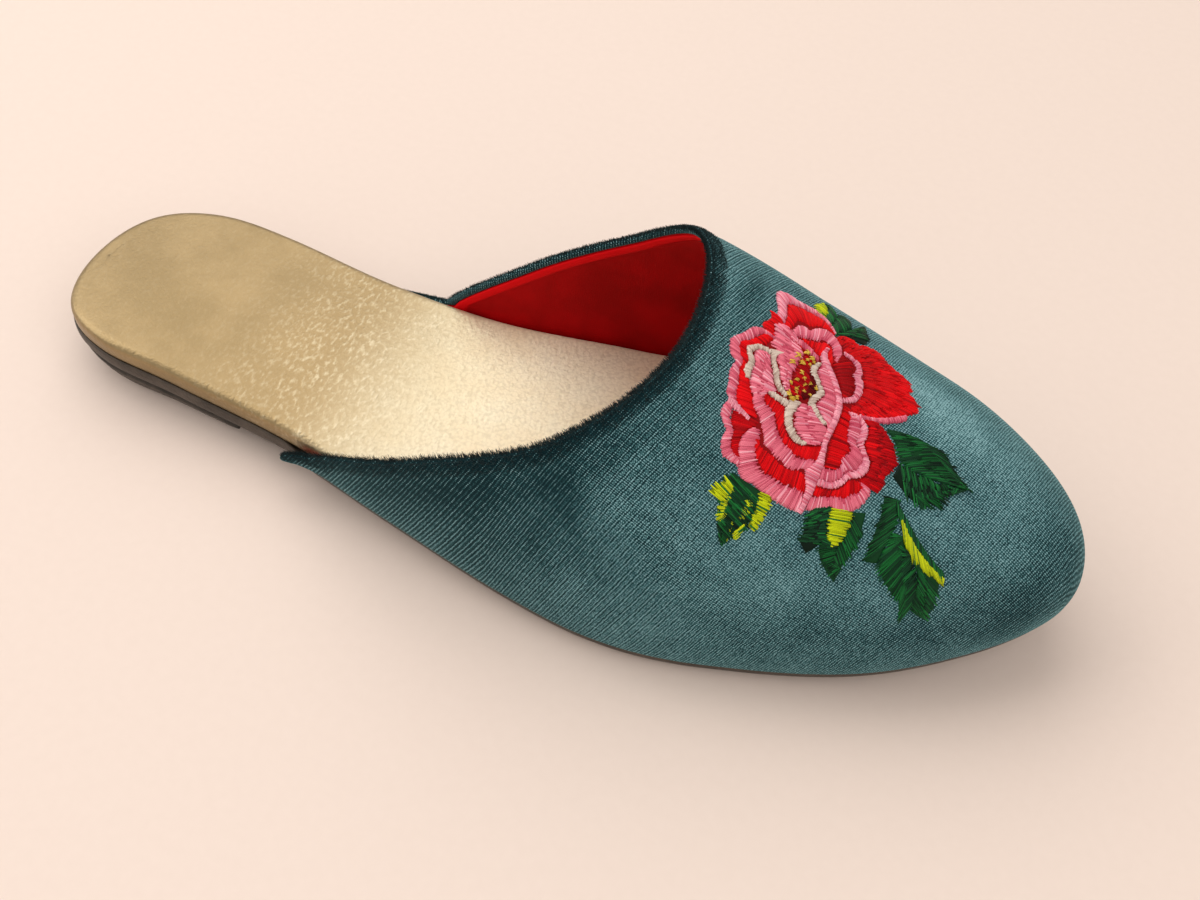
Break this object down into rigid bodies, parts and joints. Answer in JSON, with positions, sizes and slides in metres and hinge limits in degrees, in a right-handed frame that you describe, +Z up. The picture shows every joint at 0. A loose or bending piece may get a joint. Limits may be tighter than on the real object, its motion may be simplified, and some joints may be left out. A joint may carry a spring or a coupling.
{
  "type": "babouche slipper",
  "caption": "Backless flat slipper with a closed rounded toe, a cloth upper over the forefoot with a raised floral embroidery, a padded footbed and a thin sole with a low heel.",
  "frame": {"origin": "centre of the slipper's length and width, on the floor that it stands on", "axes": "+X from the heel to the toe, +Y to the inner side of the right foot, +Z up"},
  "size_m": [0.2448, 0.0866, 0.0626],
  "materials": {
    "sole_leather": "smooth dark brown",
    "heel_rubber": "matt dark brown",
    "footbed_leather": "pale gold metallic, finely grained",
    "velvet": "teal ribbed velvet",
    "rose_thread": "satin stitch in red and pink",
    "leaf_thread": "satin stitch in dark green and lime"
  },
  "bodies": {
    "root": {"outsole": "sole_leather", "heel_lift": "heel_rubber", "footbed": "footbed_leather", "upper": "velvet", "rose": "rose_thread", "leaf_top": "leaf_thread", "leaf_right": "leaf_thread", "leaf_long": "leaf_thread", "leaf_middle": "leaf_thread", "leaf_small": "leaf_thread"}
  },
  "joints": []
}
